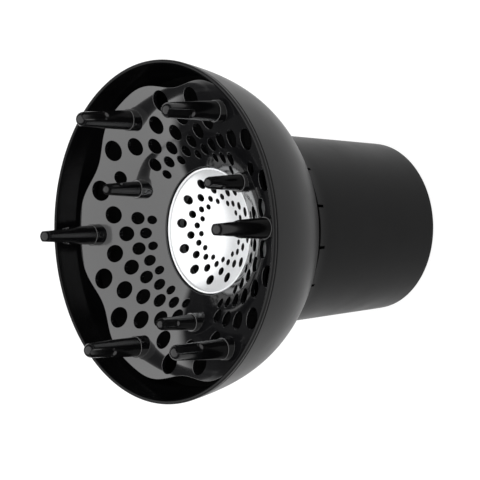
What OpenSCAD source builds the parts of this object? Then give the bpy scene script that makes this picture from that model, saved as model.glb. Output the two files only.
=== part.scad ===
// Dryer diffuser: a wide bowl with a perforated, fingered air plate, turning on a tapered neck
// that slips over the end of a hair dryer's barrel.
// Frame: +Z runs from the neck's open end to the bowl's mouth. The origin is the centre of the
// neck's end, on the axis that everything is round about. An angle of 0 degrees is along +X.

/* [Bowl] */
// Outer diameter of the bowl at its rim
rim_d = 150; // [146:1:154]
// Height of the bowl's rim above the neck's end
rim_z = 133; // [131:1:136]
// Wall thickness of the bowl
bowl_wall = 2.0; // [1.8:0.1:2.4]
// Radius of the bowl's rear edge, where it meets the neck
bowl_rear_r = 45; // [44:0.1:46]
// Depth of the bowl from its rim to its rear edge
bowl_depth = 51.8; // [51:0.1:52.5]

/* [Neck] */
// Outer radius of the neck at its open end
neck_end_r = 39.3; // [39:0.1:40]
// Outer radius of the neck below its flared front edge
neck_front_r = 43.4; // [43.2:0.1:44]
// Length of the neck
neck_len = 78; // [77:0.5:79]
// Wall thickness of the neck between its lands
neck_wall = 2.0; // [1.8:0.1:2.1]
// Number of slots in the neck's front edge
neck_slots = 15; // [10:1:20]

/* [Barrel socket] */
// Radius of the dryer barrel that the grip liner holds
socket_r = 35; // [34.5:0.1:35.5]
// Depth of the socket from the neck's end to its stop
socket_depth = 30; // [26:1:31]

/* [Swivel] */
// Radius of the neck's inner land, which the bowl's spigot turns in
land_r = 39.5; // [39.4:0.1:39.7]
// Radial clearance of the spigot in the land
swivel_gap = 0.05; // [0.02:0.01:0.09]

/* [Air plate] */
// Radius of the arc that the plate's top follows, from its centre hole out to its edge
plate_arc_r = 101; // [98:1:104]
// Distance of the arc's centre beyond the plate's edge
plate_arc_out = 22.8; // [22:0.2:24]
// Depth of the plate's edge below the rim
plate_drop = 9.8; // [9.6:0.1:10.4]
// Thickness of the plate
plate_wall = 2.0; // [1.9:0.1:2.1]
// Mean radius of the plate's six-lobed edge
plate_edge_r = 66.8; // [66.5:0.1:67.2]
// Least width of plate left between a hole and a finger's collar
min_web = 2.2; // [2.1:0.1:2.4]

/* [Fingers] */
// Radius of the circle of outer fingers
outer_ring_r = 58.8; // [58.4:0.1:59.2]
// Height of the outer fingers' tips above the rim
outer_tip_rise = 20; // [16:0.5:22]
// Radius of the circle of inner fingers
inner_ring_r = 40.1; // [40:0.1:40.3]
// Height of the inner fingers' tips above the rim
inner_tip_rise = 2.5; // [0:0.5:5]

/* [Dish] */
// Outer radius of the centre dish's rim
dish_r = 28.1; // [28:0.1:28.2]
// Depth of the dish below its rim
dish_depth = 9; // [8:0.5:9.5]

/* [Hidden] */

$fn = 96;
eps = 0.01;
satin_black = "#232325";
gloss_black = "#141416";
soft_black = "#2b2b2b";
ceramic_white = "#e9eaec";
steel_grey = "#b4b6b8";

// Bowl outline: one cubic curve from the rim to the rear edge
rim_r = rim_d / 2;
rear_z = rim_z - bowl_depth;
side_pull = [rim_r - 4.1, rim_z - 24.4];
back_pull = [bowl_rear_r + 20, rear_z + 12.6];
curve_steps = 28;
lip_steps = 6;

// Neck outline
flare_start_z = neck_len - 7;
flare_r = neck_front_r + 0.9;
flare_steps = 6;
edge_round = 0.6;
slot_w = 1.3;
slot_len = 3.7;
front_bore_r = neck_front_r - 1.8;

// Grip liner and its seat
liner_wall = 2.1;
liner_lift = 1;
liner_mouth = 1;
stop_lip = 1.8;
stop_wall = 2.2;

// Swivel: spigot, land, wear ring, friction ring and retaining ring
land_low_z = neck_len - 18;
land_top_z = neck_len - 10;
glide_t = 0.8;
glide_clear = 0.05;
spigot_r = land_r - swivel_gap;
spigot_bore_r = land_r - 2.3;
spigot_end_z = land_low_z - 6;
shoulder_r = front_bore_r - 0.4;
shoulder_z = land_top_z + glide_t + glide_clear;
clip_groove_r = spigot_r - 1.15;
clip_groove_z = land_low_z - 1.8;
clip_groove_h = 1.6;
clip_t = 1.4;
clip_r = land_r + 0.8;
clip_split_deg = 12;
oring_minor_r = 0.64;
oring_ring_r = land_r - 0.02 - oring_minor_r;
oring_z = land_low_z + 4;
oring_groove_h = 1.8;

// Plate
plate_edge_z = rim_z - plate_drop;
plate_arc_x = plate_edge_r + plate_arc_out;
plate_arc_z = plate_edge_z - sqrt(pow(plate_arc_r, 2) - pow(plate_arc_out, 2));
lobe = 2.65;
lobe_flat = 0.78;
lobe_steps = 120;
plate_hole_r = dish_r + 0.5;
// Hole rings: radius, hole diameter, and angle of the ring's first hole
hole_count = 18;
hole_rings = [
    [34.0, 3.8, 10],
    [36.4, 4.8, 0],
    [39.9, 5.6, 10],
    [44.7, 6.5, 0],
    [51.0, 7.3, 10],
    [59.0, 8.7, 0]
];
// The hole outboard of each inner finger is a smaller one
small_ring = 4;
small_hole_d = 5.8;

// Fingers: angles of the two sets, and the proportions that each set shares
outer_angles = [for (i = [0:5]) 60 * i];
inner_angles = [for (i = [0:2]) 30 + 120 * i];
outer_collar_r = 4.9;
outer_base_r = 4.5;
outer_tip_r = 3.2;
outer_scoop_len = 13.8;
outer_scoop_w = 4.4;
inner_collar_r = 4.3;
inner_base_r = 3.6;
inner_tip_r = 2.5;
inner_scoop_len = 8.9;
inner_scoop_w = 3.4;
collar_h = 4;
collar_chamfer = 0.3;
scoop_tip_gap = 1;
scoop_floor = 0.69;
scoop_lean = 3;
root_r = 2.3;
root_boss_r = 3.9;
root_reach = 1.6;
clip_clear = 0.3;
push_clip_r = 4.3;
push_clip_t = 0.7;

// Dish and the screws that hold it to the plate
dish_wall = 1.6;
dish_lip_w = 1.2;
dish_rim_z = plate_top(plate_hole_r) - 0.7;
dish_top_r = (dish_r * dish_r + dish_depth * dish_depth) / (2 * dish_depth);
dish_centre_z = dish_rim_z - dish_depth + dish_top_r;
seat_z = dish_rim_z - 1.3;
seat_r = dish_r + 2.1;
gasket_t = 0.6;
flange_t = 1.2;
flange_r = dish_r + 1.7;
flange_top_z = seat_z - gasket_t;
flange_low_z = flange_top_z - flange_t;
dish_hole_count = 12;
dish_rings = [
    [22.3, 3.7, 20],
    [18.3, 2.8, 5],
    [15.2, 2.1, 20],
    [13.1, 1.8, 5]
];
ear_angles = [60, 180, 300];
ear_ring_r = 31.5;
ear_r = 2.2;
ear_screw_r = 0.8;
ear_screw_len = 3.8;
ear_head_r = 1.9;
ear_head_h = 1.2;
ear_hole_r = 1.1;

// Legs that hold the plate on the bowl's lugs
leg_angles = [0, 120, 240];
leg_ring_r = 31.9;
leg_r = 2.0;
leg_screw_r = 1.05;
leg_screw_len = 10;
leg_head_r = 2.4;
leg_head_h = 1.6;
leg_hole_r = 1.4;
lug_r = 3.4;
lug_t = 3;
lug_top_z = rear_z + 2.3;

// Point and normal of the bowl's outer curve, for t from 0 at the rim to 1 at the rear edge
function bowl_point(t) =
    pow(1 - t, 3) * [rim_r, rim_z]
    + 3 * pow(1 - t, 2) * t * side_pull
    + 3 * (1 - t) * t * t * back_pull
    + pow(t, 3) * [bowl_rear_r, rear_z];
function bowl_slope(t) =
    3 * pow(1 - t, 2) * (side_pull - [rim_r, rim_z])
    + 6 * (1 - t) * t * (back_pull - side_pull)
    + 3 * t * t * ([bowl_rear_r, rear_z] - back_pull);
function inward(v) = [v[1], -v[0]] / norm(v);
function bowl_inner(t) = bowl_point(t) + bowl_wall * inward(bowl_slope(t));

function neck_r(z) = neck_end_r + (neck_front_r - neck_end_r) * z / flare_start_z;

// Heights of the plate's two faces, and of the underside of the boss on a finger's root
function plate_height(arc_r, r) = plate_arc_z + sqrt(arc_r * arc_r - pow(plate_arc_x - r, 2));
function plate_top(r) = plate_height(plate_arc_r, r);
function plate_low(r) = plate_height(plate_arc_r - plate_wall, r);
function boss_low(ring_r) = plate_low(ring_r - push_clip_r) - clip_clear;
function plate_edge(a) = plate_edge_r + lobe * cos(6 * a) - lobe_flat * cos(12 * a);
function polar(r, a) = [r * cos(a), r * sin(a)];

// Distance from a plate hole's centre to the nearest edge of a set of finger collars
function collar_gap(p, ring_r, angles, collar_r) =
    min([for (a = angles) norm(p - polar(ring_r, a))]) - collar_r;
function web_left(p, d) =
    min(collar_gap(p, outer_ring_r, outer_angles, outer_collar_r),
        collar_gap(p, inner_ring_r, inner_angles, inner_collar_r)) - d / 2;
function is_small(ring, a) = ring == small_ring && (a + 90) % 120 == 0;

module at_polar(r, a, z = 0) {
    rotate([0, 0, a]) translate([r, 0, z]) children();
}

// Upright cylinder between two heights
module rod(r, low, high) {
    translate([0, 0, low]) cylinder(r = r, h = high - low);
}

// Upright ring between two heights
module ring(inner_r, outer_r, low, high) {
    difference() {
        rod(outer_r, low, high);
        rod(inner_r, low - 1, high + 1);
    }
}

// Tapered sleeve: barrel seat and stop at its end, swivel land and slotted flare at its front
module neck_sleeve() {
    seat_bore_r = socket_r + liner_wall;
    duct_low_z = socket_depth + stop_wall;
    flare = [for (i = [0:flare_steps]) let (s = i / flare_steps)
        [neck_front_r + (flare_r - neck_front_r) * s * s,
         flare_start_z + (neck_len - edge_round - flare_start_z) * s]];
    lip = [for (i = [1:lip_steps]) let (a = 90 * i / lip_steps)
        [flare_r - edge_round * (1 - cos(a)), neck_len - edge_round * (1 - sin(a))]];
    color(satin_black) difference() {
        rotate_extrude() polygon(concat(
            [[neck_end_r, 0]], flare, lip,
            [[front_bore_r, neck_len], [front_bore_r, land_top_z],
             [land_r, land_top_z], [land_r, land_low_z],
             [neck_r(land_low_z) - neck_wall, land_low_z],
             [neck_r(duct_low_z) - neck_wall, duct_low_z],
             [socket_r - stop_lip, duct_low_z], [socket_r - stop_lip, socket_depth],
             [seat_bore_r, socket_depth], [seat_bore_r, 0]]));
        for (i = [0:neck_slots - 1])
            rotate([0, 0, (i + 0.5) * 360 / neck_slots])
                translate([front_bore_r - 1, -slot_w / 2, neck_len - slot_len])
                    cube([5, slot_w, slot_len + 1]);
    }
}

// Soft sleeve that grips the dryer's barrel
module grip_liner() {
    outer_r = socket_r + liner_wall;
    color(soft_black) rotate_extrude() polygon([
        [outer_r, liner_lift], [outer_r, socket_depth], [socket_r, socket_depth],
        [socket_r, liner_lift + liner_mouth], [socket_r + liner_mouth, liner_lift]]);
}

// Low-friction ring between the neck's land and the shoulder of the bowl's spigot
module glide_ring() {
    color(ceramic_white) ring(land_r + 0.3, front_bore_r, land_top_z, land_top_z + glide_t);
}

// Bowl with its rounded lip, rear web, shoulder and spigot, and the lugs that the plate stands on
module bowl_shell() {
    outer = [for (i = [0:curve_steps]) bowl_point(i / curve_steps)];
    inner = [for (i = [curve_steps:-1:0]) bowl_inner(i / curve_steps)];
    lip_mid = (bowl_point(0) + bowl_inner(0)) / 2;
    tilt = atan2(bowl_point(0)[1] - bowl_inner(0)[1], bowl_point(0)[0] - bowl_inner(0)[0]);
    lip = [for (i = [1:2 * lip_steps - 1])
        lip_mid + polar(bowl_wall / 2, tilt + 180 - 90 * i / lip_steps)];
    web_top_z = rear_z + 2 * bowl_wall;
    color(satin_black) difference() {
        union() {
            rotate_extrude() polygon(concat(
                outer,
                [[shoulder_r, rear_z], [shoulder_r, shoulder_z],
                 [spigot_r, shoulder_z], [spigot_r, spigot_end_z],
                 [spigot_bore_r, spigot_end_z], [spigot_bore_r, bowl_inner(1)[1]]],
                inner, lip));
            for (a = leg_angles) rotate([0, 0, a]) {
                translate([leg_ring_r, 0, 0]) rod(lug_r, lug_top_z - lug_t, lug_top_z);
                translate([leg_ring_r, -lug_r, lug_top_z - lug_t])
                    cube([spigot_bore_r + 1 - leg_ring_r, 2 * lug_r, lug_t]);
            }
        }
        for (a = leg_angles)
            at_polar(leg_ring_r, a) rod(leg_hole_r, lug_top_z - lug_t - 1, lug_top_z + 1);
        ring(clip_groove_r, spigot_r + 1, clip_groove_z, clip_groove_z + clip_groove_h);
        ring(oring_ring_r - oring_minor_r, spigot_r + 1,
            oring_z - oring_groove_h / 2, oring_z + oring_groove_h / 2);
    }
}

// Rubber ring that keeps the bowl from spinning freely
module friction_ring() {
    color(soft_black) translate([0, 0, oring_z])
        rotate_extrude() translate([oring_ring_r, 0]) circle(r = oring_minor_r, $fn = 24);
}

// Split spring ring that keeps the spigot in the neck
module retaining_ring() {
    low = clip_groove_z + 0.1;
    color(steel_grey) difference() {
        ring(clip_groove_r, clip_r, low, low + clip_t);
        rotate([0, 0, -clip_split_deg / 2])
            rotate_extrude(angle = clip_split_deg)
                translate([clip_groove_r - 1, low - 1]) square([5, clip_t + 2]);
    }
}

// Outline of the plate's edge, seen along the axis
module plate_outline() {
    polygon([for (i = [0:lobe_steps - 1]) let (a = 360 * i / lobe_steps) polar(plate_edge(a), a)]);
}

// Ring-shaped blank of the plate, before its edge is shaped and its holes are cut
module plate_blank(outer_r) {
    rotate_extrude() intersection() {
        difference() {
            translate([plate_arc_x, plate_arc_z]) circle(r = plate_arc_r, $fn = 360);
            translate([plate_arc_x, plate_arc_z]) circle(r = plate_arc_r - plate_wall, $fn = 360);
        }
        translate([plate_hole_r, rear_z]) square([outer_r - plate_hole_r, bowl_depth]);
    }
}

// Collar that a finger stands in, with a boss below the plate for its root
module finger_collar(ring_r, collar_r) {
    top = plate_top(ring_r) + collar_h;
    low = plate_low(ring_r);
    translate([0, 0, low]) cylinder(r = collar_r, h = top - collar_chamfer - low);
    translate([0, 0, top - collar_chamfer])
        cylinder(r1 = collar_r, r2 = collar_r - collar_chamfer, h = collar_chamfer);
    rod(root_boss_r, boss_low(ring_r), low + 1);
}

module plate_holes() {
    for (ring_i = [0:len(hole_rings) - 1], k = [0:hole_count - 1]) {
        spec = hole_rings[ring_i];
        a = spec[2] + k * 360 / hole_count;
        d = is_small(ring_i, a) ? small_hole_d : spec[1];
        if (web_left(polar(spec[0], a), d) > min_web)
            at_polar(spec[0], a) rod(d / 2, plate_hole_r, rim_z);
    }
}

// Perforated bell-mouthed air plate with its finger collars, dish seat, dish bosses and legs
module finger_plate() {
    color(gloss_black) difference() {
        union() {
            intersection() {
                plate_blank(plate_edge_r + lobe + 1);
                translate([0, 0, rear_z]) linear_extrude(bowl_depth) plate_outline();
            }
            ring(plate_hole_r, flange_r, seat_z, plate_low(flange_r) + 0.3);
            for (a = outer_angles)
                at_polar(outer_ring_r, a) finger_collar(outer_ring_r, outer_collar_r);
            for (a = inner_angles)
                at_polar(inner_ring_r, a) finger_collar(inner_ring_r, inner_collar_r);
            for (a = leg_angles)
                at_polar(leg_ring_r, a) rod(leg_r, lug_top_z, plate_low(leg_ring_r) + 1);
            for (a = ear_angles)
                at_polar(ear_ring_r, a) rod(ear_r, flange_top_z, plate_low(ear_ring_r) + 1);
        }
        plate_holes();
        rod(seat_r, rear_z, seat_z);
        for (a = outer_angles)
            at_polar(outer_ring_r, a) rod(root_r, boss_low(outer_ring_r) - 1, rim_z);
        for (a = inner_angles)
            at_polar(inner_ring_r, a) rod(root_r, boss_low(inner_ring_r) - 1, rim_z);
        for (a = leg_angles)
            at_polar(leg_ring_r, a)
                rod(leg_screw_r, lug_top_z - 1, lug_top_z - lug_t + leg_screw_len);
        for (a = ear_angles)
            at_polar(ear_ring_r, a) rod(ear_screw_r, flange_top_z - 1, flange_low_z + ear_screw_len);
    }
}

// One side's scoop: a flat-bottomed pocket with round ends, its floor leaning towards the tip
module scoop(tip_z, scoop_len, w, floor_y) {
    straight = scoop_len - w;
    translate([0, floor_y, tip_z - scoop_tip_gap - scoop_len / 2])
        rotate([scoop_lean, 0, 0]) {
            for (end = [-1, 1])
                translate([0, 0, end * straight / 2])
                    rotate([-90, 0, 0]) cylinder(r = w / 2, h = 6);
            translate([-w / 2, 0, -straight / 2]) cube([w, 6, straight]);
        }
}

// Finger along +Z, with its scoops facing +Y and -Y
module finger(ring_r, base_r, tip_r, tip_z, scoop_len, scoop_w) {
    base_z = plate_top(ring_r) + collar_h;
    root_z = boss_low(ring_r) - root_reach;
    side = [for (i = [0:lip_steps - 1]) [0, tip_z - tip_r] + polar(tip_r, 90 * i / lip_steps)];
    color(gloss_black) difference() {
        union() {
            rotate_extrude($fn = 64) polygon(concat([[0, base_z], [base_r, base_z]], side, [[0, tip_z]]));
            rod(root_r, root_z, base_z + 1);
        }
        for (turn = [0, 180])
            rotate([0, 0, turn]) scoop(tip_z, scoop_len, scoop_w, tip_r * scoop_floor);
    }
}

module outer_finger(i) {
    at_polar(outer_ring_r, outer_angles[i])
        finger(outer_ring_r, outer_base_r, outer_tip_r,
            rim_z + outer_tip_rise, outer_scoop_len, outer_scoop_w);
}

module inner_finger(i) {
    at_polar(inner_ring_r, inner_angles[i])
        finger(inner_ring_r, inner_base_r, inner_tip_r,
            rim_z + inner_tip_rise, inner_scoop_len, inner_scoop_w);
}

// Push-on spring washer on a finger's root, below the plate
module push_clip(ring_r) {
    top = boss_low(ring_r);
    difference() {
        ring(root_r, push_clip_r, top - push_clip_t, top);
        for (turn = [0:60:300])
            rotate([0, 0, turn]) translate([root_r - 1, -0.3, top - 2]) cube([2, 0.6, 4]);
    }
}

module finger_clips() {
    color(steel_grey) {
        for (a = outer_angles) at_polar(outer_ring_r, a) push_clip(outer_ring_r);
        for (a = inner_angles) at_polar(inner_ring_r, a) push_clip(inner_ring_r);
    }
}

// Round-headed screw pointing up, its head's underside at height z, with a cross in the head
module screw(shank_r, shank_len, head_r, head_h, z) {
    difference() {
        union() {
            rod(head_r, z - head_h, z);
            rod(shank_r, z - eps, z + shank_len);
        }
        for (turn = [0, 90])
            rotate([0, 0, turn]) translate([-head_r / 2, -0.25, z - head_h - 1])
                cube([head_r, 0.5, 1 + head_h / 2]);
    }
}

module plate_screws() {
    color(steel_grey) for (a = leg_angles)
        at_polar(leg_ring_r, a)
            screw(leg_screw_r, leg_screw_len, leg_head_r, leg_head_h, lug_top_z - lug_t);
}

module dish_screws() {
    color(steel_grey) for (a = ear_angles)
        at_polar(ear_ring_r, a)
            screw(ear_screw_r, ear_screw_len, ear_head_r, ear_head_h, flange_low_z);
}

// Perforated concave dish with a raised lip, a flange below the plate and three screw ears
module ceramic_dish() {
    lip_r = dish_lip_w / 2;
    color(ceramic_white) difference() {
        union() {
            rotate_extrude() intersection() {
                difference() {
                    translate([0, dish_centre_z]) circle(r = dish_top_r + dish_wall, $fn = 256);
                    translate([0, dish_centre_z]) circle(r = dish_top_r, $fn = 256);
                }
                translate([0, rear_z]) square([dish_r - lip_r, dish_rim_z - rear_z]);
            }
            ring(dish_r - dish_lip_w, dish_r, flange_low_z, dish_rim_z);
            translate([0, 0, dish_rim_z])
                rotate_extrude() translate([dish_r - lip_r, 0]) circle(r = lip_r, $fn = 24);
            ring(dish_r - dish_lip_w, flange_r, flange_low_z, flange_top_z);
            for (a = ear_angles) rotate([0, 0, a]) {
                translate([ear_ring_r, 0, 0]) rod(ear_r, flange_low_z, flange_top_z);
                translate([dish_r, -ear_r, flange_low_z]) cube([ear_ring_r - dish_r, 2 * ear_r, flange_t]);
            }
        }
        for (spec = dish_rings, k = [0:dish_hole_count - 1])
            at_polar(spec[0], spec[2] + k * 360 / dish_hole_count) rod(spec[1] / 2, rear_z, rim_z);
        for (a = ear_angles)
            at_polar(ear_ring_r, a) rod(ear_hole_r, flange_low_z - 1, flange_top_z + 1);
    }
}

// Heat-proof ring between the dish's flange and the plate
module dish_gasket() {
    color(soft_black) ring(plate_hole_r + 0.1, flange_r, flange_top_z, seat_z);
}

neck_sleeve();
grip_liner();
glide_ring();
bowl_shell();
friction_ring();
retaining_ring();
finger_plate();
finger_clips();
plate_screws();
outer_finger(0);  // outer_finger_1
outer_finger(1);  // outer_finger_2
outer_finger(2);  // outer_finger_3
outer_finger(3);  // outer_finger_4
outer_finger(4);  // outer_finger_5
outer_finger(5);  // outer_finger_6
inner_finger(0);  // inner_finger_1
inner_finger(1);  // inner_finger_2
inner_finger(2);  // inner_finger_3
ceramic_dish();
dish_gasket();
dish_screws();
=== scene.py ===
"""Dryer diffuser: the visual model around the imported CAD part.

Shapes are worked out in millimetres, in the CAD frame: +Z from the neck's open end to the bowl's
mouth, origin at the centre of the neck's end. MM turns them into metres when a mesh is made.
"""
import math

import bpy
from mathutils import Matrix, Vector
from mathutils.geometry import delaunay_2d_cdt


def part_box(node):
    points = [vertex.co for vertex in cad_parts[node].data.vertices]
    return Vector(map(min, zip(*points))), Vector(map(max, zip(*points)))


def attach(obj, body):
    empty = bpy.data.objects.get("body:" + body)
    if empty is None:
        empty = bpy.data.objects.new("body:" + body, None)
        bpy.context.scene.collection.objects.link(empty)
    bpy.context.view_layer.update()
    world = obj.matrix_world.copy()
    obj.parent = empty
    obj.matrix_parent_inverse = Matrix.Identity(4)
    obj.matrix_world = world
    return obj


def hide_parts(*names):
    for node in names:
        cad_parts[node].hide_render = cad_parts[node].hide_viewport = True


MM = 0.001

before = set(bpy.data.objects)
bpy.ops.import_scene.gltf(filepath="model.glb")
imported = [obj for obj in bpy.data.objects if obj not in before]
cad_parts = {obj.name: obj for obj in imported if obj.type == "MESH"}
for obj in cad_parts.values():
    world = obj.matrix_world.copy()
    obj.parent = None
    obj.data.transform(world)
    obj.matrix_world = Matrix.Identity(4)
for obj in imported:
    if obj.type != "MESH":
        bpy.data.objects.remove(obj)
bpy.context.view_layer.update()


# ---------------------------------------------------------------- sizes, in millimetres

def top_of(node):
    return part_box(node)[1].z / MM


def bottom_of(node):
    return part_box(node)[0].z / MM


RIM_R = 75.0
RIM_Z = 133.0
LIP_R = 1.0
BOWL_WALL = 2.0
BOWL_REAR_R = 45.0
BOWL_REAR_Z = 81.2
# Control points of the bowl's outer curve, and the shadow groove just behind its lip
SIDE_PULL = (RIM_R - 4.5, RIM_Z - 24.4)
REAR_PULL = (BOWL_REAR_R + 20.6, BOWL_REAR_Z + 14.6)
GROOVE_DROP = 1.0
GROOVE_WIDTH = 0.28
GROOVE_DEPTH = 0.35
# Below this height, behind the plate, the bowl's inside is matt
PLENUM_TOP = 115.0
SHOULDER_R = 41.2
SPIGOT_R = 39.45
SPIGOT_BORE_R = 37.2
SHOULDER_Z = top_of("glide_ring") + 0.05
SPIGOT_END_Z = bottom_of("bowl_shell")

NECK_LEN = top_of("neck_sleeve")
NECK_END_R = 39.3
NECK_FRONT_R = 43.4
NECK_FLARE = 0.9
NECK_FLARE_Z = NECK_LEN - 7
NECK_WALL = 2.0
NECK_BORE_R = NECK_FRONT_R - 1.8
NECK_SLOTS = 15
SLOT_W = 1.3
SLOT_LEN = 3.7
LAND_R = 39.5
LAND_TOP = bottom_of("glide_ring")
LAND_LOW = LAND_TOP - 8
SOCKET_R = 35.0
SOCKET_DEPTH = top_of("grip_liner")
LINER_R = 37.1
STOP_R = 33.2
STOP_T = 2.2

PLATE_EDGE_R = 66.8
PLATE_EDGE_Z = 123.2
PLATE_ARC_R = 101.0
PLATE_ARC_OUT = 22.8
PLATE_ARC_X = PLATE_EDGE_R + PLATE_ARC_OUT
PLATE_ARC_Z = PLATE_EDGE_Z - math.sqrt(PLATE_ARC_R ** 2 - PLATE_ARC_OUT ** 2)
PLATE_WALL = 2.0
PLATE_HOLE_R = 28.6
LOBE = 2.65
LOBE_FLAT = 0.78
EDGE_SOFT = 0.2
HOLE_COUNT = 18
# Rings of holes: radius, hole diameter, and angle of the ring's first hole. The holes here and in
# the dish stand where the CAD's do, and are up to 0.7 mm wider.
HOLE_RINGS = [
    (34.0, 3.8, 10), (36.4, 4.8, 0), (39.9, 5.6, 10),
    (44.7, 6.7, 0), (51.0, 7.8, 10), (59.0, 9.2, 0),
]
# The hole outboard of each inner finger, in this ring, is a smaller one
SMALL_RING = 4
SMALL_HOLE_D = 6.1
MIN_WEB = 2.2

OUTER = dict(ring_r=58.8, angles=[60 * i for i in range(6)], collar_r=4.9, base_r=4.5,
             tip_r=3.2, scoop_len=13.8, scoop_w=4.4, name="outer_finger")
INNER = dict(ring_r=40.1, angles=[30 + 120 * i for i in range(3)], collar_r=4.3, base_r=3.6,
             tip_r=2.5, scoop_len=8.9, scoop_w=3.4, name="inner_finger")
COLLAR_H = 4.0
COLLAR_ROUND = 0.3
COLLAR_FILLET = 0.1
FOOT_ROUND = 0.3
ROOT_R = 2.3
ROOT_BOSS_R = 3.9
ROOT_REACH = 1.6
CLIP_R = 4.3
CLIP_CLEAR = 0.3
SCOOP_TIP_GAP = 1.0
SCOOP_FLOOR = 0.69
SCOOP_LEAN = math.tan(math.radians(3))
# The scoop's soft edge runs from inside its outline to just outside it
SCOOP_EDGE = (-0.38, 0.12)

DISH_R = 28.1
DISH_DEPTH = 9.0
DISH_RIM_Z = PLATE_ARC_Z + math.sqrt(PLATE_ARC_R ** 2 - (PLATE_ARC_X - PLATE_HOLE_R) ** 2) - 0.7
DISH_SPHERE_R = (DISH_R ** 2 + DISH_DEPTH ** 2) / (2 * DISH_DEPTH)
DISH_CENTRE_Z = DISH_RIM_Z - DISH_DEPTH + DISH_SPHERE_R
DISH_WALL = 1.6
DISH_LIP_W = 1.2
DISH_BEAD_H = 0.32
DISH_HOLES = 12
DISH_RINGS = [(22.3, 4.3, 20), (18.3, 3.5, 5), (15.2, 2.8, 20), (13.1, 2.5, 5)]
FLANGE_R = 29.8
FLANGE_LOW = bottom_of("ceramic_dish")
FLANGE_T = 1.2
SEAT_R = 30.2
SEAT_Z = DISH_RIM_Z - 1.3

LEG_ANGLES = (0, 120, 240)
LEG_RING_R = 31.9
LEG_R = 2.0
LUG_R = 3.4
LUG_T = 3.0
LUG_TOP = BOWL_REAR_Z + 2.3
EAR_ANGLES = (60, 180, 300)
EAR_RING_R = 31.5
EAR_R = 2.2


# ---------------------------------------------------------------- small helpers

def polar(r, degrees):
    a = math.radians(degrees)
    return r * math.cos(a), r * math.sin(a)


def arc_steps(count, start=0.0, end=90.0):
    """Angles in radians from start to end, without the first."""
    return [math.radians(start + (end - start) * (i + 1) / count) for i in range(count)]


def smoothstep(edge0, edge1, x):
    t = min(max((x - edge0) / (edge1 - edge0), 0.0), 1.0)
    return t * t * (3 - 2 * t)


class Shape:
    """A mesh being built from loops of points, with a shading normal for points that need one."""

    def __init__(self):
        self.points = []
        self.normals = []
        self.faces = []
        self.slots = []

    def add(self, point, normal=(0.0, 0.0, 0.0)):
        self.points.append(tuple(point))
        self.normals.append(tuple(normal))
        return len(self.points) - 1

    def face(self, indices, slot=0):
        self.faces.append(tuple(indices))
        self.slots.append(slot)

    def bridge(self, a, b, slot=0):
        """Quads between two closed loops. Seen from outside, a is below b when they run
        anticlockwise."""
        n = len(a)
        for i in range(n):
            j = (i + 1) % n
            self.face((a[i], a[j], b[j], b[i]), slot)

    def circle(self, centre, r, z, n, normal=None):
        """Loop of points round a centre. z is a height, or a function of x and y. normal is a
        function of the outward unit vector."""
        loop = []
        for i in range(n):
            a = 2 * math.pi * i / n
            ux, uy = math.cos(a), math.sin(a)
            x, y = centre[0] + r * ux, centre[1] + r * uy
            height = z(x, y) if callable(z) else z
            shading = normal(x, y, ux, uy) if normal else (0.0, 0.0, 0.0)
            loop.append(self.add((x, y, height), shading))
        return loop

    def lathe(self, profile, n, centre=(0.0, 0.0), slots=None):
        """Closed solid of revolution. The profile runs anticlockwise in the (r, z) plane."""
        loops = [self.circle(centre, r, z, n) for r, z in profile]
        for i, loop in enumerate(loops):
            self.bridge(loops[i - 1], loop, slots[i - 1] if slots else 0)

    def post(self, centre, r, low, high, n=24, slot=0):
        """Short closed cylinder."""
        bottom = self.circle(centre, r, low, n)
        top = self.circle(centre, r, high, n)
        self.bridge(bottom, top, slot)
        self.face(reversed(bottom), slot)
        self.face(top, slot)

    def build(self, name, materials, sharp=30.0):
        mesh = bpy.data.meshes.new(name)
        mesh.from_pydata([tuple(c * MM for c in p) for p in self.points], [], self.faces)
        for material in materials:
            mesh.materials.append(material)
        mesh.polygons.foreach_set("material_index", self.slots)
        mesh.polygons.foreach_set("use_smooth", [True] * len(self.faces))
        mesh.update()
        mesh.set_sharp_from_angle(angle=math.radians(sharp))
        if any(n != (0.0, 0.0, 0.0) for n in self.normals):
            mesh.normals_split_custom_set_from_vertices([Vector(n) for n in self.normals])
        obj = bpy.data.objects.new(name, mesh)
        bpy.context.scene.collection.objects.link(obj)
        return obj


def weight_normals(obj):
    modifier = obj.modifiers.new("even_shading", "WEIGHTED_NORMAL")
    modifier.keep_sharp = True
    return obj


def place(obj, body, slot, *nodes):
    """The piece rides on a body and stands for CAD nodes. slot is not used."""
    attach(obj, body)
    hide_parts(*nodes)
    return obj


# ---------------------------------------------------------------- materials

def new_material(name):
    material = bpy.data.materials.new(name)
    material.use_nodes = True
    tree = material.node_tree
    return material, tree, tree.nodes["Principled BSDF"]


def add_noise(tree, scale, detail=4.0, stretch=(1, 1, 1)):
    """Noise in the piece's own space; scale is in features per metre."""
    place_node = tree.nodes.new("ShaderNodeTexCoord")
    mapping = tree.nodes.new("ShaderNodeMapping")
    mapping.inputs["Scale"].default_value = stretch
    noise = tree.nodes.new("ShaderNodeTexNoise")
    noise.inputs["Scale"].default_value = scale
    noise.inputs["Detail"].default_value = detail
    tree.links.new(place_node.outputs["Object"], mapping.inputs["Vector"])
    tree.links.new(mapping.outputs["Vector"], noise.inputs["Vector"])
    return noise.outputs["Fac"]


def map_range(tree, value, from_min, from_max, to_min, to_max):
    node = tree.nodes.new("ShaderNodeMapRange")
    node.inputs["From Min"].default_value = from_min
    node.inputs["From Max"].default_value = from_max
    node.inputs["To Min"].default_value = to_min
    node.inputs["To Max"].default_value = to_max
    tree.links.new(value, node.inputs["Value"])
    return node.outputs["Result"]


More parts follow.
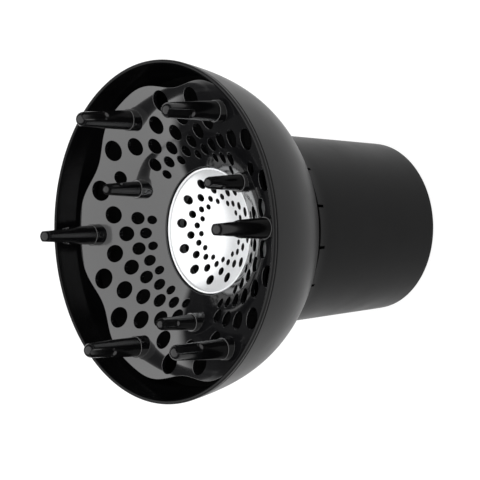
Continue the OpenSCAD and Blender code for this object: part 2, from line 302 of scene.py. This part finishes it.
def mix_colours(tree, factor, a, b):
    node = tree.nodes.new("ShaderNodeMix")
    node.data_type = "RGBA"
    tree.links.new(factor, node.inputs["Factor"])
    node.inputs["A"].default_value = (*a, 1)
    node.inputs["B"].default_value = (*b, 1)
    return node.outputs["Result"]


def add_bumps(tree, shader, layers):
    """Stacked bumps: each layer is (height output, strength, distance in metres)."""
    last = None
    for height, strength, distance in layers:
        bump = tree.nodes.new("ShaderNodeBump")
        bump.inputs["Strength"].default_value = strength
        bump.inputs["Distance"].default_value = distance
        tree.links.new(height, bump.inputs["Height"])
        if last is not None:
            tree.links.new(last, bump.inputs["Normal"])
        last = bump.outputs["Normal"]
    tree.links.new(last, shader.inputs["Normal"])


def moulded(name, dark, light, rough, grain, grain_depth, ripple_depth, ior=1.5):
    """Moulded plastic: fine grain, a slow ripple from the mould, smudges in its gloss.
    rough is a range, grain is in features per metre, and the two depths are in metres."""
    material, tree, shader = new_material(name)
    shader.inputs["IOR"].default_value = ior
    smudge = add_noise(tree, 60, 5.0)
    fine = add_noise(tree, grain, 2.0)
    ripple = add_noise(tree, 90, 1.0)
    colour = mix_colours(tree, map_range(tree, smudge, 0.35, 0.65, 0, 1), dark, light)
    tree.links.new(colour, shader.inputs["Base Color"])
    tree.links.new(map_range(tree, smudge, 0.3, 0.7, *rough), shader.inputs["Roughness"])
    add_bumps(tree, shader, [(ripple, 0.35, ripple_depth), (fine, 0.5, grain_depth)])
    return material


def ceramic():
    """Satin silver-white coating with a fine pearly speckle."""
    material, tree, shader = new_material("ceramic_white")
    shader.inputs["Metallic"].default_value = 0.45
    shader.inputs["IOR"].default_value = 1.6
    shader.inputs["Coat Weight"].default_value = 0.25
    shader.inputs["Coat Roughness"].default_value = 0.12
    speckle = add_noise(tree, 5200, 2.0)
    cloud = add_noise(tree, 85, 4.0)
    colour = mix_colours(tree, map_range(tree, speckle, 0.4, 0.62, 0, 1),
                         (0.66, 0.67, 0.68), (0.78, 0.79, 0.80))
    tree.links.new(colour, shader.inputs["Base Color"])
    tree.links.new(map_range(tree, cloud, 0.3, 0.7, 0.27, 0.36), shader.inputs["Roughness"])
    add_bumps(tree, shader, [(cloud, 0.2, 0.00004), (speckle, 0.35, 0.000012)])
    return material


def metal(name, colour, tarnish, rough):
    """Plated steel with a brushed grain and faint tarnish."""
    material, tree, shader = new_material(name)
    shader.inputs["Metallic"].default_value = 1.0
    brushed = add_noise(tree, 900, 3.0, (1, 1, 14))
    cloud = add_noise(tree, 220, 4.0)
    tree.links.new(mix_colours(tree, map_range(tree, cloud, 0.4, 0.7, 0, 1), colour, tarnish),
                   shader.inputs["Base Color"])
    tree.links.new(map_range(tree, brushed, 0.3, 0.7, rough, rough + 0.15),
                   shader.inputs["Roughness"])
    add_bumps(tree, shader, [(brushed, 0.3, 0.00001)])
    return material


SATIN = moulded("satin_black", (0.005, 0.005, 0.0053), (0.0075, 0.0075, 0.0078),
                (0.30, 0.38), 5200, 0.000012, 0.00004, ior=1.26)
# The neck's satin black is a darker copy of the bowl's: painted shade.
NECK_PAINTED_SHADE_SATIN = moulded("neck_satin_black_painted_shade", (0.0025, 0.0025, 0.0027), (0.004, 0.004, 0.0042),
                     (0.34, 0.42), 5200, 0.000012, 0.00004, ior=1.2)
INNER_BLACK = moulded("inner_black", (0.0015, 0.0015, 0.0017), (0.003, 0.003, 0.0032),
                      (0.12, 0.18), 3600, 0.000002, 0.00004, ior=1.22)
PLENUM_BLACK = moulded("plenum_black", (0.0015, 0.0015, 0.0016), (0.003, 0.003, 0.0031),
                       (0.55, 0.68), 3600, 0.00001, 0.00004, ior=1.2)
GLOSS = moulded("gloss_black", (0.0035, 0.0035, 0.004), (0.006, 0.006, 0.0065),
                (0.05, 0.10), 3600, 0.000002, 0.00003, ior=1.75)
FINGER_GLOSS = moulded("finger_gloss_black", (0.003, 0.003, 0.0033), (0.005, 0.005, 0.0053),
                       (0.16, 0.23), 3600, 0.000002, 0.00003, ior=1.40)
RUBBER = moulded("soft_black", (0.018, 0.018, 0.018), (0.034, 0.034, 0.033),
                 (0.62, 0.78), 4200, 0.00003, 0.00005, ior=1.42)
GLIDE = moulded("glide_white", (0.66, 0.66, 0.62), (0.76, 0.76, 0.73),
                (0.38, 0.50), 3800, 0.00001, 0.00003)
CERAMIC = ceramic()
BARE_CERAMIC = moulded("bare_ceramic", (0.012, 0.012, 0.012), (0.020, 0.020, 0.020),
                       (0.55, 0.70), 5200, 0.00001, 0.00003)
STEEL = metal("plated_steel", (0.56, 0.57, 0.59), (0.40, 0.40, 0.41), 0.26)


# ---------------------------------------------------------------- bowl

def bowl_curve(steps=40):
    """Outer curve of the bowl from rim to rear edge, with its inward unit normals."""
    start, end = Vector((RIM_R, RIM_Z)), Vector((BOWL_REAR_R, BOWL_REAR_Z))
    pull_a, pull_b = Vector(SIDE_PULL), Vector(REAR_PULL)
    curve = []
    for i in range(steps + 1):
        t = i / steps
        s = 1 - t
        point = s ** 3 * start + 3 * s * s * t * pull_a + 3 * s * t * t * pull_b + t ** 3 * end
        slope = s * s * (pull_a - start) + 2 * s * t * (pull_b - pull_a) + t * t * (end - pull_b)
        normal = Vector((slope.y, -slope.x)).normalized()
        curve.append((point, normal))
    return curve


def grooved(point, normal):
    """Sinks the shadow groove just behind the lip."""
    drop = RIM_Z - point.y
    depth = GROOVE_DEPTH * math.exp(-((drop - GROOVE_DROP) / GROOVE_WIDTH) ** 2)
    return point + normal * depth


def make_bowl():
    curve = bowl_curve()
    start, first_normal = curve[0]
    # The outside is cut finer next to the lip, where the groove is
    fine_steps, fine_end, coarse_gap = 400, 28, 0.6
    near_lip = [grooved(point, normal) for point, normal in bowl_curve(fine_steps)[1:fine_end]]
    outer = [start] + near_lip + [p for p, _ in curve if p.y < near_lip[-1].y - coarse_gap]
    inner = [p + n * BOWL_WALL for p, n in curve]
    lip_mid = start + first_normal * BOWL_WALL / 2
    lean = math.atan2(-first_normal.y, -first_normal.x)
    lip = [lip_mid + Vector((math.cos(lean + a), math.sin(lean + a))) * LIP_R
           for a in arc_steps(11, 0, 165)]
    rear_edge = 0.5
    corner = 0.3
    rear = [Vector((BOWL_REAR_R - rear_edge, BOWL_REAR_Z)),
            Vector((SHOULDER_R + corner, BOWL_REAR_Z)),
            Vector((SHOULDER_R, BOWL_REAR_Z - corner)), Vector((SHOULDER_R, SHOULDER_Z)),
            Vector((SPIGOT_R, SHOULDER_Z)), Vector((SPIGOT_R, SPIGOT_END_Z + rear_edge)),
            Vector((SPIGOT_R - rear_edge, SPIGOT_END_Z)), Vector((SPIGOT_BORE_R, SPIGOT_END_Z)),
            Vector((SPIGOT_BORE_R, inner[-1].y))]
    # The profile runs anticlockwise: up the outside, over the lip, down the inside
    outside = list(reversed(outer + rear))
    profile = [tuple(p) for p in outside + lip + inner]
    # Slots: satin outside as far as the lip's crest, then black, then matt behind the plate
    over_lip = len(outside) + len(lip) // 2
    slots = [0] * over_lip + [1 if z > PLENUM_TOP else 2 for _, z in profile[over_lip:]]
    shape = Shape()
    shape.lathe(profile, 256, slots=slots)
    # Each lug is joined to the spigot by a post a little smaller and thinner than itself
    arm_out, arm_inset, arm_step = 0.4, 0.2, 0.05
    for angle in LEG_ANGLES:
        shape.post(polar(LEG_RING_R, angle), LUG_R, LUG_TOP - LUG_T, LUG_TOP, 32, slot=2)
        arm = polar((LEG_RING_R + SPIGOT_BORE_R) / 2 + arm_out, angle)
        shape.post(arm, LUG_R - arm_inset, LUG_TOP - LUG_T + arm_step, LUG_TOP - arm_step, 32,
                   slot=2)
    obj = shape.build("bowl", [SATIN, INNER_BLACK, PLENUM_BLACK], sharp=40)
    return place(weight_normals(obj), "bowl", "satin_black", "bowl_shell")


# ---------------------------------------------------------------- neck

def cut_slots(obj):
    """Cuts the ring of slots in the neck's front edge."""
    cutter = Shape()
    for i in range(NECK_SLOTS):
        turn = Matrix.Rotation(math.radians((i + 0.5) * 360 / NECK_SLOTS), 3, "Z")
        corners = [cutter.add(turn @ Vector((x, y, z)))
                   for x in (NECK_BORE_R - 1, NECK_FRONT_R + 3)
                   for y in (-SLOT_W / 2, SLOT_W / 2)
                   for z in (NECK_LEN - SLOT_LEN, NECK_LEN + 1)]
        for quad in ((0, 1, 3, 2), (4, 6, 7, 5), (0, 4, 5, 1),
                     (2, 3, 7, 6), (0, 2, 6, 4), (1, 5, 7, 3)):
            cutter.face([corners[k] for k in quad])
    tool = cutter.build("slot_cutter", [])
    modifier = obj.modifiers.new("slots", "BOOLEAN")
    modifier.operation = "DIFFERENCE"
    modifier.solver = "EXACT"
    modifier.object = tool
    cut = bpy.data.meshes.new_from_object(obj.evaluated_get(bpy.context.evaluated_depsgraph_get()))
    obj.modifiers.clear()
    obj.data = cut
    bpy.data.objects.remove(tool)
    cut.set_sharp_from_angle(angle=math.radians(32))


def make_neck():
    edge = 0.6

    def outer_r(z):
        flare = max(z - NECK_FLARE_Z, 0) / (NECK_LEN - NECK_FLARE_Z)
        return NECK_END_R + (NECK_FRONT_R - NECK_END_R) * min(z, NECK_FLARE_Z) / NECK_FLARE_Z \
            + NECK_FLARE * flare * flare

    steps = 30
    heights = [edge + (NECK_LEN - 2 * edge) * i / steps for i in range(steps + 1)]
    outside = [(NECK_END_R - edge, 0)]
    outside += [(NECK_END_R - edge + edge * math.sin(a), edge - edge * math.cos(a))
                for a in arc_steps(4)]
    outside += [(outer_r(z), z) for z in heights[1:]]
    front = outer_r(NECK_LEN)
    outside += [(front - edge + edge * math.cos(a), NECK_LEN - edge + edge * math.sin(a))
                for a in arc_steps(4)]
    duct = SOCKET_DEPTH + STOP_T
    bore_edge, seat_edge = 0.2, 0.3
    inside = [(NECK_BORE_R + bore_edge, NECK_LEN), (NECK_BORE_R, NECK_LEN - bore_edge),
              (NECK_BORE_R, LAND_TOP),
              (LAND_R, LAND_TOP), (LAND_R, LAND_LOW), (outer_r(LAND_LOW) - NECK_WALL, LAND_LOW),
              (outer_r(duct) - NECK_WALL, duct), (STOP_R, duct), (STOP_R, SOCKET_DEPTH),
              (LINER_R, SOCKET_DEPTH), (LINER_R, seat_edge), (LINER_R + seat_edge, 0)]
    shape = Shape()
    shape.lathe(outside + inside, 240)
    obj = shape.build("neck", [NECK_PAINTED_SHADE_SATIN])
    cut_slots(obj)
    return place(weight_normals(obj), "neck", "satin_black", "neck_sleeve")


def make_liner():
    """Grip liner with a row of shallow round grooves in its bore."""
    grooves, steps, depth = 8, 64, 0.28
    back_gap, plain_len = 0.6, 2.2
    back_edge, mouth = 0.3, 1
    low = bottom_of("grip_liner")
    bore = []
    for i in range(steps + 1):
        s = i / steps
        z = SOCKET_DEPTH - back_gap - (SOCKET_DEPTH - low - plain_len) * s
        bore.append((SOCKET_R + depth * (0.5 - 0.5 * math.cos(2 * math.pi * grooves * s)), z))
    profile = [(LINER_R, low), (LINER_R, SOCKET_DEPTH), (SOCKET_R + back_edge, SOCKET_DEPTH)] + bore
    profile += [(SOCKET_R + mouth, low)]
    shape = Shape()
    shape.lathe(profile, 192)
    obj = shape.build("grip_sleeve", [RUBBER])
    return place(weight_normals(obj), "neck", "soft_black", "grip_liner")


# ---------------------------------------------------------------- perforated sheets

def fill_between(points, loops, keep):
    """Triangles over 2-D points, held to the loops' edges, where keep(x, y) is true."""
    edges = [(a, b) for loop in loops for a, b in zip(loop, loop[1:] + loop[:1])]
    found = delaunay_2d_cdt([Vector(p) for p in points], edges, [], 0, 1e-6)
    coords, faces, origins = found[0], found[2], found[3]
    new_of = {old: new for new, olds in enumerate(origins) for old in olds}
    kept = []
    for f in faces:
        centre = sum((coords[i] for i in f), Vector((0, 0))) / len(f)
        if keep(centre.x, centre.y):
            kept.append(f)
    return [tuple(c) for c in coords], kept, new_of


def sheet_between(shape, rings, outline, centre_r, top, low, top_normal, spacing, reach):
    """Top and bottom skins of a perforated sheet. rings are circles (x, y, r, n) left open,
    outline is the outer loop of points, and the result gives each open loop's indices on the
    top and bottom skins, the outline's first."""
    edge_margin, ring_margin, past_edge = 0.7, 0.55, 3
    points = [tuple(p) for p in outline]
    loops = [list(range(len(points)))]
    for x, y, r, n in rings:
        first = len(points)
        points += [(x + r * math.cos(2 * math.pi * i / n), y + r * math.sin(2 * math.pi * i / n))
                   for i in range(n)]
        loops.append(list(range(first, len(points))))

    def clear(x, y, margin):
        return all((x - cx) ** 2 + (y - cy) ** 2 > (r + margin) ** 2 for cx, cy, r, _ in rings)

    ring_r = centre_r
    while ring_r < max(reach(0), reach(60)) + past_edge:
        count = max(1, round(2 * math.pi * ring_r / spacing))
        for i in range(count):
            angle = 360 * (i + 0.5 * (round(ring_r / spacing) % 2)) / count
            x, y = polar(ring_r, angle)
            if ring_r < reach(angle) - edge_margin and clear(x, y, ring_margin):
                points.append((x, y))
        ring_r += spacing

    def inside(x, y):
        return math.hypot(x, y) < reach(math.degrees(math.atan2(y, x))) and clear(x, y, 0)

    coords, faces, new_of = fill_between(points, loops, inside)
    up = [shape.add((x, y, top(x, y)), top_normal(x, y)) for x, y in coords]
    down = [shape.add((x, y, low(x, y)), tuple(-c for c in top_normal(x, y))) for x, y in coords]
    for f in faces:
        shape.face([up[i] for i in f])
        shape.face([down[i] for i in reversed(f)])
    return [([up[new_of[i]] for i in loop], [down[new_of[i]] for i in loop]) for loop in loops]


def blend_normal(a, up, flat):
    """Unit normal a part of the way from up to flat, a in radians."""
    return tuple(math.cos(a) * u + math.sin(a) * f for u, f in zip(up, flat))


def line_hole(shape, loops, x, y, r, n, soft, top, low, top_normal):
    """Wall of one hole, with a rounded upper edge and a softened lower one."""
    last = loops[0]
    for a in arc_steps(3):
        ring = shape.circle(
            (x, y), r + soft - soft * math.sin(a),
            lambda px, py: top(px, py) - soft + soft * math.cos(a), n,
            lambda px, py, ux, uy: blend_normal(a, top_normal(px, py), (-ux, -uy, 0)))
        shape.bridge(last, ring)
        last = ring
    ring = shape.circle((x, y), r, lambda px, py: low(px, py) + soft, n,
                        lambda px, py, ux, uy: (-ux, -uy, 0))
    shape.bridge(last, ring)
    shape.bridge(ring, loops[1])


# ---------------------------------------------------------------- air plate

def arc_height(arc_r, r):
    return PLATE_ARC_Z + math.sqrt(arc_r ** 2 - (PLATE_ARC_X - r) ** 2)


def plate_top(x, y):
    return arc_height(PLATE_ARC_R, math.hypot(x, y))


def plate_low(x, y):
    """Underside of the plate, cut flat where the dish's gasket lies against it."""
    r = math.hypot(x, y)
    low = arc_height(PLATE_ARC_R - PLATE_WALL, r)
    return max(low, SEAT_Z) if r < SEAT_R else low


def plate_normal(x, y):
    r = max(math.hypot(x, y), PLATE_HOLE_R)
    lean = (PLATE_ARC_X - r) / PLATE_ARC_R
    return (-lean * x / r, -lean * y / r, math.sqrt(1 - lean * lean))


def boss_low(ring_r):
    return arc_height(PLATE_ARC_R - PLATE_WALL, ring_r - CLIP_R) - CLIP_CLEAR


def plate_reach(angle):
    a = math.radians(angle)
    return PLATE_EDGE_R + LOBE * math.cos(6 * a) - LOBE_FLAT * math.cos(12 * a)


def plate_holes():
    """Centre and radius of every hole in the plate, leaving a web round each finger's collar."""
    collars = [(*polar(kind["ring_r"], a), kind["collar_r"]) for kind in (OUTER, INNER)
               for a in kind["angles"]]
    holes = []
    for index, (ring_r, d, first) in enumerate(HOLE_RINGS):
        for k in range(HOLE_COUNT):
            angle = first + k * 360 / HOLE_COUNT
            size = SMALL_HOLE_D if index == SMALL_RING and (angle + 90) % 120 == 0 else d
            x, y = polar(ring_r, angle)
            web = min(math.hypot(x - cx, y - cy) - cr for cx, cy, cr in collars) - size / 2
            if web > MIN_WEB:
                holes.append((x, y, size / 2))
    return holes


def edge_ring(shape, steps, inset, drop, normal_of):
    """Loop that follows the plate's lobed edge, inset from it and below its top."""
    loop = []
    for i in range(steps):
        angle = 360 * i / steps
        x, y = polar(plate_reach(angle) - inset, angle)
        loop.append(shape.add((x, y, plate_top(x, y) - drop), normal_of(x, y, *polar(1, angle))))
    return loop


def make_collar(shape, loops, kind, angle, n):
    """Collar that a finger stands in, joined to the plate with a fillet, and its boss below."""
    x, y = polar(kind["ring_r"], angle)
    r = kind["collar_r"]
    high = plate_top(x, y) + COLLAR_H
    low = boss_low(kind["ring_r"])
    fillet = COLLAR_FILLET
    last = loops[0]

    def step(radius, z, normal):
        nonlocal last
        ring = shape.circle((x, y), radius, z, n, normal)
        shape.bridge(last, ring)
        last = ring

    for a in arc_steps(3):
        step(r + fillet - fillet * math.sin(a),
             lambda px, py: plate_top(px, py) + fillet - fillet * math.cos(a),
             lambda px, py, ux, uy: blend_normal(a, plate_normal(px, py), (ux, uy, 0)))
    step(r, high - COLLAR_ROUND, lambda px, py, ux, uy: (ux, uy, 0))
    for a in arc_steps(3):
        step(r - COLLAR_ROUND + COLLAR_ROUND * math.cos(a),
             high - COLLAR_ROUND + COLLAR_ROUND * math.sin(a),
             lambda px, py, ux, uy: blend_normal(a, (ux, uy, 0), (0, 0, 1)))
    step(ROOT_R, high, lambda px, py, ux, uy: (0, 0, 1))
    step(ROOT_R, low, None)
    step(ROOT_BOSS_R, low, None)
    step(ROOT_BOSS_R, plate_low, None)
    shape.bridge(last, loops[1])


def make_plate():
    shape = Shape()
    edge_steps = 288
    centre_n = 176
    collar_n = 44
    least_n, hole_pitch = 24, 0.75
    first_gap, spacing = 1.4, 1.9
    post_sunk = 0.9
    holes = [(x, y, r, max(least_n, 4 * round(r * 2 * math.pi / hole_pitch / 4)))
             for x, y, r in plate_holes()]
    collars = [(kind, a) for kind in (OUTER, INNER) for a in kind["angles"]]
    rings = [(0, 0, PLATE_HOLE_R + EDGE_SOFT, centre_n)]
    rings += [(x, y, r + EDGE_SOFT, n) for x, y, r, n in holes]
    rings += [(*polar(kind["ring_r"], a), kind["collar_r"] + COLLAR_FILLET, collar_n)
              for kind, a in collars]
    outline = [polar(plate_reach(360 * i / edge_steps) - EDGE_SOFT, 360 * i / edge_steps)
               for i in range(edge_steps)]
    loops = sheet_between(shape, rings, outline, PLATE_HOLE_R + first_gap, plate_top, plate_low,
                          plate_normal, spacing, lambda a: plate_reach(a) - EDGE_SOFT)
    rim_top, rim_low = loops[0]
    last = rim_top
    for a in arc_steps(3):
        ring = edge_ring(shape, edge_steps,
                         EDGE_SOFT * (1 - math.sin(a)), EDGE_SOFT * (1 - math.cos(a)),
                         lambda x, y, ux, uy: blend_normal(a, plate_normal(x, y), (ux, uy, 0)))
        shape.bridge(ring, last)
        last = ring
    ring = edge_ring(shape, edge_steps, 0, PLATE_WALL - EDGE_SOFT, lambda x, y, ux, uy: (ux, uy, 0))
    shape.bridge(ring, last)
    shape.bridge(rim_low, ring)
    line_hole(shape, loops[1], 0, 0, PLATE_HOLE_R, centre_n, EDGE_SOFT, plate_top, plate_low,
              plate_normal)
    for (x, y, r, n), pair in zip(holes, loops[2:]):
        line_hole(shape, pair, x, y, r, n, EDGE_SOFT, plate_top, plate_low, plate_normal)
    for (kind, angle), pair in zip(collars, loops[2 + len(holes):]):
        make_collar(shape, pair, kind, angle, collar_n)
    for angle in LEG_ANGLES:
        x, y = polar(LEG_RING_R, angle)
        shape.post((x, y), LEG_R, LUG_TOP, plate_low(x, y) + post_sunk)
    for angle in EAR_ANGLES:
        x, y = polar(EAR_RING_R, angle)
        shape.post((x, y), EAR_R, FLANGE_LOW + FLANGE_T, plate_low(x, y) + post_sunk)
    obj = shape.build("air_plate", [GLOSS])
    return place(obj, "bowl", "gloss_black", "finger_plate")


# ---------------------------------------------------------------- fingers

def scoop_mask(across, height, length, width):
    """1 inside a stadium-shaped scoop and 0 outside, with a soft edge. height is measured from
    the scoop's middle."""
    straight = (length - width) / 2
    gap = math.hypot(across, max(abs(height) - straight, 0)) - width / 2
    return 1 - smoothstep(*SCOOP_EDGE, gap)


def finger_radius(kind, theta, z, base_z, tip_z):
    """Distance from the finger's axis to its surface, in the direction theta, at height z."""
    s = (z - base_z) / (tip_z - base_z)
    plain = kind["base_r"] + (kind["tip_r"] - kind["base_r"]) * s
    dome = kind["tip_r"]
    over = z - (tip_z - dome)
    if over > 0:
        plain -= dome - math.sqrt(max(dome * dome - over * over, 0.0))
    foot = z - base_z
    if foot < FOOT_ROUND:
        plain -= FOOT_ROUND - math.sqrt(max(FOOT_ROUND ** 2 - (FOOT_ROUND - foot) ** 2, 0.0))
    middle = tip_z - SCOOP_TIP_GAP - kind["scoop_len"] / 2
    floor = kind["tip_r"] * SCOOP_FLOOR - (z - middle) * SCOOP_LEAN
    side = abs(math.sin(theta))
    edge_on = 0.2
    mask = scoop_mask(plain * math.cos(theta), z - middle, kind["scoop_len"], kind["scoop_w"])
    if mask <= 0 or side < edge_on:
        return plain
    return plain + (min(plain, floor / side) - plain) * mask


def finger_heights(kind, base_z, tip_z):
    """Heights of the finger's rings: close together at its foot, its scoop's ends and its tip."""
    last_z = tip_z - 0.01
    scoop_top = tip_z - SCOOP_TIP_GAP
    scoop_low = scoop_top - kind["scoop_len"]
    bend = kind["scoop_w"] / 2
    # Each stop is a height and the spacing of the rings above it
    stops = [(base_z, 0.1), (base_z + 0.4, 1.2), (scoop_low - 0.4, 0.22), (scoop_low + bend, 0.9),
             (scoop_top - bend, 0.22), (tip_z - 0.8, 0.1), (tip_z - 0.2, 0.04), (last_z, 1)]
    heights = []
    for (low, step), (high, _) in zip(stops, stops[1:]):
        count = max(1, math.ceil((high - low) / step))
        heights += [low + (high - low) * i / count for i in range(count)]
    return heights + [last_z]


def make_finger(kind, index):
    angle = kind["angles"][index]
    node = f"{kind['name']}_{index + 1}"
    ring_r = kind["ring_r"]
    base_z = plate_top(ring_r, 0) + COLLAR_H
    tip_z = top_of(node)
    root_z = boss_low(ring_r) - ROOT_REACH
    n = 96
    shape = Shape()
    cx, cy = polar(ring_r, angle)
    turn = math.radians(angle)

    def ring_at(z, radius_of):
        loop = []
        for i in range(n):
            theta = 2 * math.pi * i / n
            r = radius_of(theta)
            x, y = cx + r * math.cos(theta + turn), cy + r * math.sin(theta + turn)
            loop.append(shape.add((x, y, z)))
        return loop

    centre = shape.add((cx, cy, root_z))
    last = ring_at(root_z, lambda theta: ROOT_R)
    for i in range(n):
        shape.face((centre, last[(i + 1) % n], last[i]))
    ring = ring_at(base_z, lambda theta: ROOT_R)
    shape.bridge(last, ring)
    last = ring
    for z in finger_heights(kind, base_z, tip_z):
        ring = ring_at(z, lambda theta: finger_radius(kind, theta, z, base_z, tip_z))
        shape.bridge(last, ring)
        last = ring
    tip = shape.add((cx, cy, tip_z))
    for i in range(n):
        shape.face((last[i], last[(i + 1) % n], tip))
    obj = shape.build(f"{kind['name']}_look_{index + 1}", [FINGER_GLOSS], sharp=60)
    return place(obj, "bowl", "gloss_black", node)


# ---------------------------------------------------------------- centre dish

def dish_top(x, y):
    return DISH_CENTRE_Z - math.sqrt(DISH_SPHERE_R ** 2 - x * x - y * y)


def dish_low(x, y):
    return DISH_CENTRE_Z - math.sqrt((DISH_SPHERE_R + DISH_WALL) ** 2 - x * x - y * y)


def dish_normal(x, y):
    to_centre = (-x, -y, DISH_CENTRE_Z - dish_top(x, y))
    return tuple(c / DISH_SPHERE_R for c in to_centre)


def make_dish():
    shape = Shape()
    soft = 0.1
    n, hole_n, spacing = 176, 24, 1.5
    edge_round = 0.25
    lip_in = DISH_R - DISH_LIP_W
    edge = DISH_R - edge_round - DISH_LIP_W
    holes = []
    for ring_r, d, first in DISH_RINGS:
        for k in range(DISH_HOLES):
            holes.append((*polar(ring_r, first + k * 360 / DISH_HOLES), d / 2, hole_n))
    rings = [(x, y, r + soft, count) for x, y, r, count in holes]
    outline = [polar(edge, 360 * i / n) for i in range(n)]
    loops = sheet_between(shape, rings, outline, 0.0, dish_top, dish_low, dish_normal, spacing,
                          lambda a: edge)
    for (x, y, r, count), pair in zip(holes, loops[1:]):
        line_hole(shape, pair, x, y, r, count, soft, dish_top, dish_low, dish_normal)
    last = loops[0][0]

    def step(radius, z, normal):
        nonlocal last
        ring = shape.circle((0, 0), radius, z, n, normal)
        shape.bridge(ring, last)
        last = ring

    # The bead is one wave on the dish's surface, with a small round on the outside
    bead_steps = 10
    for i in range(bead_steps):
        turn = math.pi * (i + 1) / bead_steps
        r = edge + DISH_LIP_W * turn / math.pi
        slope = (r / (DISH_CENTRE_Z - dish_top(r, 0))
                 + DISH_BEAD_H * math.pi / DISH_LIP_W * math.sin(2 * turn))
        lean = math.atan(slope)
        step(r, dish_top(r, 0) + DISH_BEAD_H * math.sin(turn) ** 2,
             lambda px, py, ux, uy: (-ux * math.sin(lean), -uy * math.sin(lean), math.cos(lean)))
    round_r = DISH_R - edge_round
    round_z = dish_top(round_r, 0) - edge_round
    for a in arc_steps(4, 100, 0):
        step(round_r + edge_round * math.cos(a), round_z + edge_round * math.sin(a),
             lambda px, py, ux, uy: (ux * math.cos(a), uy * math.cos(a), math.sin(a)))
    step(DISH_R, FLANGE_LOW + FLANGE_T, lambda px, py, ux, uy: (ux, uy, 0))
    step(FLANGE_R, FLANGE_LOW + FLANGE_T, None)
    step(FLANGE_R, FLANGE_LOW, None)
    shape.bridge(loops[0][1], last)
    # Each ear is two posts, the inner one a little smaller and thinner
    ear_step, ear_taper, ear_thinning = 1.4, 0.1, 0.03
    for angle in EAR_ANGLES:
        for inward in (0, ear_step):
            shape.post(polar(EAR_RING_R - inward, angle), EAR_R - ear_taper * inward,
                       FLANGE_LOW + ear_thinning * inward,
                       FLANGE_LOW + FLANGE_T - ear_thinning * inward)
    # The walls of the holes and the underside are bare
    for index, corners in enumerate(shape.faces):
        if all(math.hypot(*shape.points[k][:2]) < lip_in
               and shape.points[k][2] < dish_top(*shape.points[k][:2]) - soft / 2 for k in corners):
            shape.slots[index] = 1
    obj = shape.build("centre_dish", [CERAMIC, BARE_CERAMIC])
    return place(obj, "bowl", "ceramic_white", "ceramic_dish")


# ---------------------------------------------------------------- everything together

make_bowl()
make_neck()
make_liner()
make_plate()
for kind in (OUTER, INNER):
    for finger_index in range(len(kind["angles"])):
        make_finger(kind, finger_index)
make_dish()

KEPT_NODES = {
    "glide_ring": GLIDE, "friction_ring": RUBBER, "retaining_ring": STEEL, "finger_clips": STEEL,
    "plate_screws": STEEL, "dish_gasket": RUBBER, "dish_screws": STEEL,
}
for node_name, node_material in KEPT_NODES.items():
    node_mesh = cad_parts[node_name].data
    node_mesh.materials.clear()
    node_mesh.materials.append(node_material)


# ---------------------------------------------------------------- camera, floor and light

VIEW_TILT = math.radians(48.158)
VIEW_ROLL = math.radians(1.93)
VIEW_DISTANCE = 902.9
VIEW_RIGHT = 35.3
VIEW_DOWN = 3.4
LENS = 155.5


def make_camera():
    """Looks into the mouth from the +X side, rolled so that the axis lies across the picture."""
    back = Vector((math.sin(VIEW_TILT), 0, math.cos(VIEW_TILT)))
    side = Vector((math.cos(VIEW_TILT), 0, -math.sin(VIEW_TILT)))
    across = Vector((0, 1, 0))
    right = side * math.cos(VIEW_ROLL) - across * math.sin(VIEW_ROLL)
    up = across * math.cos(VIEW_ROLL) + side * math.sin(VIEW_ROLL)
    place_at = Vector((0, 0, RIM_Z)) + back * VIEW_DISTANCE + right * VIEW_RIGHT - up * VIEW_DOWN
    data = bpy.data.cameras.new("camera")
    data.lens = LENS
    data.sensor_width = 36
    data.clip_start = 0.01
    data.clip_end = 20
    camera = bpy.data.objects.new("camera", data)
    facing = Matrix((right, up, back)).transposed().to_4x4()
    camera.matrix_world = Matrix.Translation(place_at * MM) @ facing
    bpy.context.scene.collection.objects.link(camera)
    bpy.context.scene.camera = camera


def make_floor():
    mesh = bpy.data.meshes.new("floor")
    half = 4.0
    mesh.from_pydata([(-half, -half, 0), (half, -half, 0), (half, half, 0), (-half, half, 0)], [],
                     [(0, 1, 2, 3)])
    material, tree, shader = new_material("pale_floor")
    shader.inputs["Roughness"].default_value = 0.9
    shader.inputs["Emission Color"].default_value = (1, 1, 1, 1)
    position = tree.nodes.new("ShaderNodeTexCoord")
    distance = tree.nodes.new("ShaderNodeVectorMath")
    distance.operation = "LENGTH"
    tree.links.new(position.outputs["Object"], distance.inputs[0])
    # Inside the neck's end the floor is painted dark and gives no light: a painted shadow under the
    # neck. Elsewhere it glows evenly.
    painted_shadow_r = (NECK_END_R - 3) * MM
    outside_painted_shadow = map_range(tree, distance.outputs["Value"], painted_shadow_r, painted_shadow_r + MM, 0, 1)
    tree.links.new(mix_colours(tree, outside_painted_shadow, (0.02, 0.02, 0.02), (0.2, 0.2, 0.2)),
                   shader.inputs["Base Color"])
    tree.links.new(map_range(tree, outside_painted_shadow, 0, 1, 0, 0.85), shader.inputs["Emission Strength"])
    mesh.materials.append(material)
    floor = bpy.data.objects.new("floor", mesh)
    bpy.context.scene.collection.objects.link(floor)


def make_world():
    """Soft bright dome overhead and a dark band above the horizon, as in a light tent."""
    world = bpy.data.worlds.new("studio")
    bpy.context.scene.world = world
    world.use_nodes = True
    tree = world.node_tree
    background = tree.nodes["Background"]
    direction = tree.nodes.new("ShaderNodeTexCoord")
    split = tree.nodes.new("ShaderNodeSeparateXYZ")
    ramp = tree.nodes.new("ShaderNodeValToRGB")
    tree.links.new(direction.outputs["Generated"], split.inputs["Vector"])
    tree.links.new(split.outputs["Z"], ramp.inputs["Fac"])
    stops = ramp.color_ramp.elements
    stops[0].position = 0.50
    stops[0].color = (0.02, 0.02, 0.02, 1)
    stops[1].position = 0.57
    stops[1].color = (1, 1, 1, 1)
    tree.links.new(ramp.outputs["Color"], background.inputs["Color"])
    background.inputs["Strength"].default_value = 2.1


make_camera()
make_floor()
make_world()
bpy.context.scene.view_settings.view_transform = "Standard"
